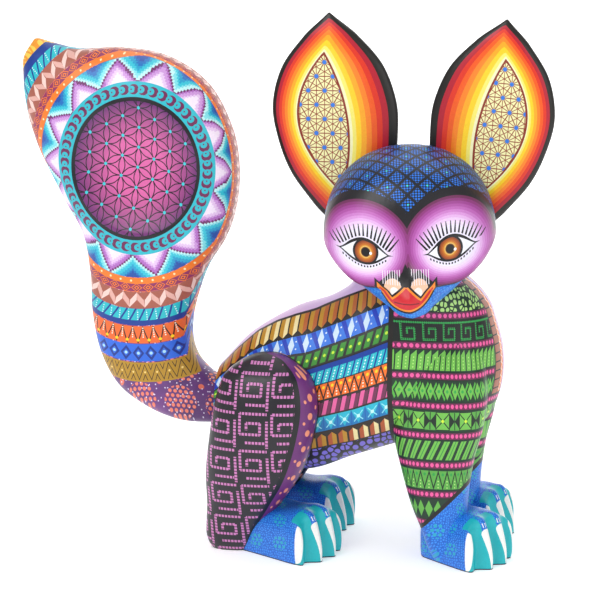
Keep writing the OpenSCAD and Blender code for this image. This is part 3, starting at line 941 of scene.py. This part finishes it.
# Rump: indigo and purple clouds with coral dot flowers and specks of white
coat = add("Mix", sea, colour("2a2152"), colour("8a4a9a"), data_type="RGBA")
stem = add("CombineXYZ", measure(drawn, x=1), measure(drawn, y=0.6, z=1), 0.0)
flower = row(stem, 78.0, 24.0, -70.0, 21.0)
petals = studs(stem, 3.1, 5.4, 1.05)
coat = lay(coat, "f2826a", petals, spot(flower, 9.4))
coat = lay(coat, "e8745c", spot(row(stem, 67.5, 24.0, -58.0, 21.0), 1.7))
speck = add("TexVoronoi", stem, 0.28, voronoi_dimensions="2D")
coat = lay(coat, "e8dcf4", add("Math LESS_THAN", speck, 0.11))


def ring(radius):
    """The ripple chart with its turns measured in mm at one radius."""
    return add("VectorMath MULTIPLY", ripples, (math.radians(radius), 1, 0))


def within(under, over, low, high, *shapes):
    """Lays a paint between two radii, on the dish's side of the gold tip."""
    return lay(under, over, add("Math COMPARE", out_from, (low + high) / 2, (high - low) / 2), *shapes)


# Ochre ring of dark line arrows
here = ring(118)
coat = within(coat, "b58a22", 112.8, 124.5)
arrow = add("Math PINGPONG", above_zigzag(here, 118.6, 7.0, 9.0), 3.0)
coat = within(coat, "2a1a0c", 113.8, 123.5, add("Math LESS_THAN", arrow, 0.55))
coat = lay(coat, "f0d27a", spot(row(here, 118.6, 7.0, 3.5), 0.6))

# Blue ring of deep blue diamonds with a pale dot
here = ring(107)
coat = within(coat, "2a68dc", 101.8, 112.2)
coat = lay(coat, "12318c", lozenge(row(here, 107.2, 7.4), 3.4, 4.4))
coat = lay(coat, "2a68dc", lozenge(row(here, 107.2, 7.4), 1.9, 2.4))
coat = lay(coat, "a8dcf4", spot(row(here, 107.2, 7.4), 0.9))

# Orange ring of black zigzag with white and yellow dots
here = ring(96)
coat = within(coat, "ee6a2a", 91.2, 101.4)
coat = within(
    coat, "20130e", 91.2, 101.4, add("Math COMPARE", above_zigzag(here, 96.3, 6.2, 9.0), 0.0, 1.05),
)
coat = within(coat, "fff0dc", 92.0, 98.4, spot(row(here, 95.0, 6.2, 3.1, 1.3), 0.42))
coat = lay(coat, "ffd21c", spot(row(here, 99.4, 6.2), 0.9))

# Navy ring under leaning turquoise bars with strings of white dots
here = ring(85)
coat = within(coat, "123a92", 81.0, 90.8)
coat = lay(coat, "24bcc8", block(row(here, 84.4, 5.4, slant=0.55), 2.1, 3.4))
coat = within(coat, "dcf8f8", 81.8, 87.4, spot(row(here, 84.4, 5.4, 0.2, 1.4), 0.36))

# Brown ring of pale petals in pairs
here = ring(76)
coat = within(coat, "a75d4c", 71.2, 80.8)
for start, slant in ((-2.1, 0.5), (2.1, -0.5)):
    leaning = row(here, 75.8, 8.6, start)
    skewed = add("CombineXYZ", measure(leaning, 1, slant), measure(leaning, 0, 1), 0.0)
    coat = lay(coat, colour("f1cfc6" if start < 0 else "e2ada2"), lozenge(skewed, 1.9, 4.6))

# Orange ring with plum line diamonds and cream dots
here = ring(67)
coat = within(coat, "f27c24", 62.8, 71.0)
coat = within(coat, "8f2f5e", 66.4, 70.8)
diamonds = row(here, 68.6, 6.6)
coat = lay(coat, "f27c24", lozenge(diamonds, 3.2, 2.6))
coat = lay(coat, "7a2458", lozenge(diamonds, 2.1, 1.7, 0.45))
coat = lay(coat, "7a2458", spot(diamonds, 0.55))
coat = lay(coat, "fbe6b0", spot(row(here, 64.6, 6.6, 3.3), 0.65))

# Star of fourteen points, stepped like beadwork: lilac within, turquoise to deep blue without
POINTS = 14
here = ring(56)
stepped = add("VectorMath SNAP", here, (1.25, 1.25, 1))
beyond = above_zigzag(stepped, 55.4, 56 * 2 * math.pi / POINTS, 13.0, 10.0)
coat = within(coat, "bfeef0", 49.2, 62.6)
for far, shade in ((1.6, "7fdce4"), (3.2, "33c0d4"), (5.4, "1f9cc8"), (7.6, "1a6fba"), (9.6, "1c4fa4")):
    coat = within(coat, shade, 49.2, 62.6, add("Math GREATER_THAN", beyond, far))
for near, shade in ((0.0, "6f2c68"), (-1.4, "b06cc0"), (-3.2, "cb98d8"), (-5.2, "e2c4ea"), (-7.4, "f2e4f6")):
    coat = within(coat, shade, 49.2, 62.6, add("Math LESS_THAN", beyond, near))

# Turquoise ring of plum hooks, and the dish's black lip
here = ring(45)
coat = within(coat, "2ab8c8", 40.6, 49.4)
hook = row(here, 45.0, 5.66)
coat = within(coat, "6c1f52", 42.2, 47.8, spot(hook, 2.9))
coat = lay(coat, "2ab8c8", spot(row(here, 45.0, 5.66, 1.3), 1.9))
coat = lay(coat, "6c1f52", spot(row(here, 45.0, 5.66, 1.6), 0.45))
coat = within(coat, "12101a", 38.6, 40.8)

# Gold tip with yellow cells, past a navy line
high = add("Math GREATER_THAN", measure(drawn, z=1), 215.0)
tip = add("Math GREATER_THAN", out_from, 93.0)
coat = lay(coat, "14398c", high, add("Math GREATER_THAN", out_from, 90.6))
gold = lay(
    colour("ee9a2a"), colour("f9cf52"),
    cells(add("CombineXYZ", measure(drawn, 1, 0.7), measure(drawn, z=1), 0.0), 4.4, 0.55),
)
coat = lay(coat, gold, tip, high)

# Dish: pink that darkens to purple at the lip, black petals between turquoise dots
dish = add("CombineXYZ", measure(drawn, x=1), measure(drawn, z=1), 0.0)
dish = add("VectorMath SUBTRACT", dish, (*DISH_AT, 0))
dish = add("VectorMath MULTIPLY", dish, (1.05, 0.97, 1))
from_dish = add("VectorMath LENGTH", dish)
in_dish = add("Math LESS_THAN", from_dish, 38.6)
in_dish = add("Math MULTIPLY", in_dish, add("Math LESS_THAN", measure(drawn, y=1), 0.0))
depth = add("MapRange", from_dish, 16.0, 40.0, 0.0, 1.0)
dish_coat = add("Mix", depth, colour("d864a4"), colour("5a2268"), data_type="RGBA")
SPACING = 11.6
for degrees in (25, 85, 145):
    angle = math.radians(degrees)
    along_line = measure(dish, math.cos(angle), math.sin(angle))
    off_line = measure(dish, -math.sin(angle), math.cos(angle))
    line_number = add("Math ROUND", add("Math DIVIDE", off_line, SPACING * 0.866))
    off_line = add("Math MULTIPLY_ADD", line_number, -SPACING * 0.866, off_line)
    shifted = add("Math MULTIPLY_ADD", line_number, SPACING / 2, along_line)
    swing = add("Math SINE", add("Math MULTIPLY", shifted, math.pi / SPACING))
    swing = add("Math MULTIPLY", add("Math ABSOLUTE", swing), 1.9)
    gap = add("Math SUBTRACT", add("Math ABSOLUTE", off_line), swing)
    dish_coat = lay(dish_coat, "1c0f22", add("Math COMPARE", gap, 0.0, 0.30))
turned = add(
    "CombineXYZ", measure(dish, math.cos(math.radians(25)), math.sin(math.radians(25))),
    measure(dish, -math.sin(math.radians(25)), math.cos(math.radians(25))), 0.0,
)
dish_coat = lay(dish_coat, "38c8d4", studs(turned, SPACING, SPACING * 1.732, 0.95))
coat = lay(coat, dish_coat, in_dish)
varnish(coat)

tail_form = skin(TAIL_RIBS, 180, 320, 2.5)
for vert in tail_form.verts:
    x, y, z = vert.co
    # The dish is a slice of a great ball, a little longer across than up
    inside = DISH_BALL ** 2 - ((x - DISH_AT[0]) / 1.14) ** 2 - ((z - DISH_AT[1]) / 0.9) ** 2
    if y < 0 and inside > 0:
        vert.co.y = max(y, DISH_MIDDLE_Y + math.sqrt(inside))
# The root is sawn flat against the rump, no higher than the brush's foot
ROOT_TOP, SEAT_GAP, SAW_REACH = 150, 0.4, 100
root_saw = bmesh.new()
saw_middle = (TAIL_SEAT_X - SEAT_GAP + SAW_REACH / 2, 0, ROOT_TOP / 2)
saw_size = (SAW_REACH, SAW_REACH, ROOT_TOP, 1)
bmesh.ops.create_cube(root_saw, size=1, matrix=Matrix.Translation(saw_middle) @ Matrix.Diagonal(saw_size))
tail_form = carve(tail_form, root_saw)
finished("tail_brush", tail_form, "tail", ["tail"], "painted_tail", tail_finish, ripples=ripples_chart)

# ---------------------------------------------------------------- hind legs
# Each haunch is glued on over two dowels. Charcoal with a broken pink meander outside, a
# purple edge with peach dots in front; the paws are blue with carved toes and white claws.

HAUNCH_RIBS = [
    (-53, -4, -22, -4, -18, 12),
    (-52, 12, -18, 12, -20, 14),
    (-50, 30, -6, 30, -25, 17),
    (-49, 50, 7, 50, -31, 20),
    (-46, 72, 15, 72, -34, 21),
    (-43, 92, 18, 92, -33, 21),
    (-38, 108, 14, 108, -31, 18),
    (-27, 121, 3, 121, -28, 12),
]
HIND_PAW_RIBS = [
    (-38, 14, -38, -8, 0, 10),
    (-28, 26, -28, -8, 0, 13),
    (-8, 31, -8, -8, 0, 16),
    (12, 29, 12, -8, 0, 19),
    (26, 30, 26, -8, 0, 21.5),
    (34, 27, 34, -8, 0, 21),
    (40, 14, 40, -8, 0, 16),
]
MIRROR_Y = Matrix.Translation((0, 10, 0)) @ Matrix.Diagonal((1, -1, 1, 1))


def side_chart(co, grid, middle):
    """Forward and upward mm, and how far round toward the leg's front: 1 at the rear edge, -1 in front."""
    crown = max(0.0, (grid.y - 0.86) / 0.14)
    return co.x, co.z, math.cos(grid.x * 2 * math.pi) - 1.6 * crown ** 2


def edge_chart(co, grid, middle):
    """Mm up the leg's front edge, and mm round it toward the outer face."""
    return co.z + 0.4 * co.x, 22 * 2 * math.pi * (grid.x - 0.5), 0


haunch_finish = new_finish("acrylic_meander_on_haunch")
side_place = add("Attribute", attribute_name="side", out="Vector")
rearward = measure(side_place, z=1)
side_flat = add("VectorMath MULTIPLY", side_place, (1, 1, 0))
coat = colour("1d1b22")
dashes = add("VectorMath WRAP", side_flat, (1.0, 1.0, 1), (-1.0, -1.0, -1))
dashes = add("VectorMath ABSOLUTE", dashes)
upright_dash = add("Math LESS_THAN", measure(dashes, y=1), 0.72)
level_dash = add("Math LESS_THAN", measure(dashes, x=1), 0.72)
for column, height, half_width, half_height in (
    (0.0, 8.0, 8.0, 0.8), (-8.0, 2.0, 0.8, 6.0), (-2.0, -4.0, 6.0, 0.8), (4.0, -0.6, 0.8, 3.6),
    (0.0, 2.6, 4.0, 0.8), (-4.0, 0.5, 0.8, 2.0), (8.0, -4.0, 0.8, 8.0), (1.0, -9.0, 6.0, 0.8),
):
    stroke = block(row(side_flat, 60.0 + height, 19.0, column - 16.0, 22.0), half_width, half_height)
    coat = lay(coat, "cc7cb8", stroke, level_dash if half_width > half_height else upright_dash)
edge_place = add("Attribute", attribute_name="edge", out="Vector")
in_margin = add("Math LESS_THAN", rearward, -0.70)
coat = lay(coat, "121016", add("Math LESS_THAN", rearward, -0.58))
coat = lay(coat, "6c2a72", in_margin, strip(edge_place, 1.5, 60))
for across, step, radius in (
    (10.0, 10.5, 2.1), (4.6, 8.6, 1.2), (14.2, 12.5, 1.0), (-3.0, 6.4, 1.2), (-9.0, 8.0, 1.4),
):
    coat = lay(coat, "f2987a", spot(row(edge_place, across, step, across), radius), in_margin)
coat = lay(coat, "cfa640", add("Math GREATER_THAN", rearward, 0.9985))
varnish(coat)


def paw_coat(place):
    """Blue paw paint: fine stipple and dot flowers, over the paw's own forward, sideways and upward mm."""
    across = add("CombineXYZ", measure(place, 1, 0.7), measure(place, y=0.7, z=1), 0.0)
    coat = colour("1263cc")
    coat = lay(coat, "3390ec", cells(across, 1.5, 0.24))
    flower = row(across, 12.0, 17.0, -4.0, 15.0)
    return lay(coat, "1fa8c8", studs(across, 3.0, 5.2, 1.0), spot(flower, 4.6))


def toes(coat, place):
    """Teal in the gouged grooves, white claws that taper to the floor, and three ticks above each claw."""
    forward = measure(place, x=1)
    upward = measure(place, z=1)
    toe = add(
        "Math WRAP", add("Math SUBTRACT", measure(place, y=1), TOE_PITCH / 2), TOE_PITCH / 2,
        -TOE_PITCH / 2,
    )
    off_toe = add("Math ABSOLUTE", toe)
    claw_side = add("Math MULTIPLY_ADD", upward, 0.14, 0.3)
    wedge = add("Math LESS_THAN", off_toe, claw_side)
    wedge = add("Math MULTIPLY", wedge, add("Math LESS_THAN", upward, 20.5))
    ball = spot(add("CombineXYZ", toe, add("Math SUBTRACT", upward, 20.5), 0.0), 3.15)
    claw = add("Math MAXIMUM", wedge, ball)
    inner = add("Math LESS_THAN", add("Math ABSOLUTE", measure(place, y=1)), 21.0)
    reach = add("Math GREATER_THAN", forward, 0.0)
    curved = add("Math MULTIPLY_ADD", off_toe, 1.6, forward)
    beside = add("Math GREATER_THAN", off_toe, 2.6)
    under_knuckle = add("Math LESS_THAN", upward, 19.0)
    groove = add("Math MAXIMUM", beside, under_knuckle)
    coat = lay(coat, "14b4bc", groove, reach, inner, add("Math GREATER_THAN", curved, 5.0))
    coat = lay(coat, "f6f6f2", claw, add("Math GREATER_THAN", forward, 5.0))
    tick = add("Math LESS_THAN", add("Math PINGPONG", toe, 0.75), 0.22)
    coat = lay(
        coat, "f6f6f2", tick, add("Math LESS_THAN", off_toe, 2.4), add("Math COMPARE", upward, 25.6, 1.2),
        reach,
    )
    return lay(coat, "0a1c3c", add("Math LESS_THAN", upward, 0.7))


def paw_chart(set_back, front):
    """The rule of a paw: its own mm, with forward counted from a little behind the toes."""
    def rule(co, grid, middle):
        own = set_back @ co
        return own.x - front + 14, own.y, own.z
    return rule


def carved_paw(ribs, front):
    """A paw's skin with its toes parted by round-bottomed grooves that run back over the top."""
    form = skin(ribs, 200, 120, 3)
    for vert in form.verts:
        x, y, z = vert.co
        ahead = max(0.0, min(1.0, (x - front + 20) / 14))
        groove = (0.5 + 0.5 * math.cos(2 * math.pi * y / TOE_PITCH)) * ahead * ahead
        vert.co.x -= 5.0 * groove * min(1.0, max(0.0, (x - front + 10) / 8))
        vert.co.z -= 3.6 * groove * max(0.0, min(1.0, (z - 8) / 14))
    return form


TOE_PITCH = 14
paw_finish = new_finish("acrylic_stipple_on_paws")
paw_place = add("Attribute", attribute_name="paw", out="Vector")
varnish(toes(paw_coat(paw_place), paw_place))



def planted(name, form, set_at, node, slot, finish, **charts):
    """Sets part of a leg in its place, saws it level with the floor and finishes it."""
    bmesh.ops.transform(form, verts=form.verts, matrix=set_at)
    cut_away(form, (0, 0, 0), (0, 0, -1))
    finished(name, form, "figure", [node], slot, finish, **charts)


def planted_paw(node, slot, ribs, front, at, yaw):
    """A paw that is turned by its yaw in degrees, on the CAD node of its leg."""
    paw_set = Matrix.Translation((*at, 0)) @ Matrix.Rotation(math.radians(yaw), 4, "Z")
    chart = paw_chart(paw_set.inverted(), front)
    planted(node + "_paw", carved_paw(ribs, front), paw_set, node, slot, paw_finish, paw=chart)


for node, way, at, yaw in (
    ("haunch_right", Matrix(), (-12, -18), -24),
    ("haunch_left", MIRROR_Y, (-15, 42), -10),
):
    haunch_form = skin(HAUNCH_RIBS, 120, 150, 2.6)
    planted(
        node + "_leg", haunch_form, way, node, "painted_haunches", haunch_finish,
        side=side_chart, edge=edge_chart,
    )
    planted_paw(node, "painted_haunches", HIND_PAW_RIBS, 40, at, yaw)

# ---------------------------------------------------------------- forelegs
# Straight legs glued to the shoulders over two dowels. The chest's green bands run on down
# them to a slanting black line, below which the paw is blue.

FORELEG_RIBS = [
    (83, -4, 107, -4, -20, 11),
    (79, 14, 104, 14, -21, 13),
    (71, 34, 104, 36, -21, 14),
    (65, 54, 107, 60, -20, 15),
    (60, 74, 112, 80, -18, 17),
    (59, 96, 114, 100, -16, 18),
    (62, 118, 112, 120, -14, 18),
    (70, 138, 104, 140, -12, 14),
    (80, 150, 92, 150, -11, 8),
]
FRONT_PAW_RIBS = [
    (-20, 22, -20, -8, 0, 10),
    (-12, 32, -12, -8, 0, 14),
    (4, 31, 4, -8, 0, 18),
    (18, 30, 18, -8, 0, 21),
    (26, 28, 26, -8, 0, 21.5),
    (33, 14, 33, -8, 0, 16),
]


def round_leg_chart(co, grid, middle):
    """Mm round the leg as the chest counts them, height, and height above the slanting line."""
    # The outer face is 38 mm out, and the leg turns rearward from its middle at 86
    outward = min(co.y, 10 - co.y) + 38
    way = max(-1.0, min(1.0, (co.x - 86) / 15))
    return co.x - 38 + way * outward, co.z, co.z - 20 - (co.x - 76)


foreleg_finish = new_finish("acrylic_green_bands_on_foreleg")
leg_place = add("Attribute", attribute_name="leg", out="Vector")
above_line = measure(leg_place, z=1)
coat = chest(add("VectorMath MULTIPLY", leg_place, (1, 1, 0)))
coat = lay(coat, paw_coat(drawn_place()), add("Math LESS_THAN", above_line, 0.0))
coat = lay(coat, "17120f", add("Math COMPARE", above_line, 0.0, 1.6))
varnish(coat)

for node, way, at, yaw in (
    ("foreleg_right", Matrix(), (95, -13), -28),
    ("foreleg_left", MIRROR_Y, (90, 43), -12),
):
    foreleg_form = skin(FORELEG_RIBS, 120, 160, 2.4)
    planted(
        node + "_leg", foreleg_form, way, node, "painted_forelegs", foreleg_finish, leg=round_leg_chart,
    )
    planted_paw(node, "painted_forelegs", FRONT_PAW_RIBS, 33, at, yaw)

# ---------------------------------------------------------------- pegs and dowels
# Turned copal sticks left bare: a peg at the root of each ear and of the tail, and glued
# dowels in the neck, hips and shoulders. They are the CAD's own and only take a finish.

wood_finish = new_finish("bare_copal_pegs")
grain_place = add("VectorMath MULTIPLY", drawn_place(), (0.2, 0.8, 0.8))
grain = add("TexNoise", grain_place, Scale=1.1, Detail=4.0, Roughness=0.6, Distortion=0.4)
wood = add("Mix", grain, colour("c9a674"), colour("ead2a8"), data_type="RGBA")
pores = add("Bump", Strength=0.25, Distance=0.0003, Height=grain)
# Bare sanded wood: IOR 1.5, roughness 0.7
add("OutputMaterial", add("BsdfPrincipled", wood, IOR=1.5, Roughness=0.7, Normal=pores))
for node in (
    "ear_peg_right", "ear_peg_left", "tail_peg", "neck_dowel", "hip_dowels_right", "hip_dowels_left",
    "shoulder_dowels_right", "shoulder_dowels_left",
):
    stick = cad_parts[node]
    stick.data.materials.clear()
    stick.data.materials.append(wood_finish)
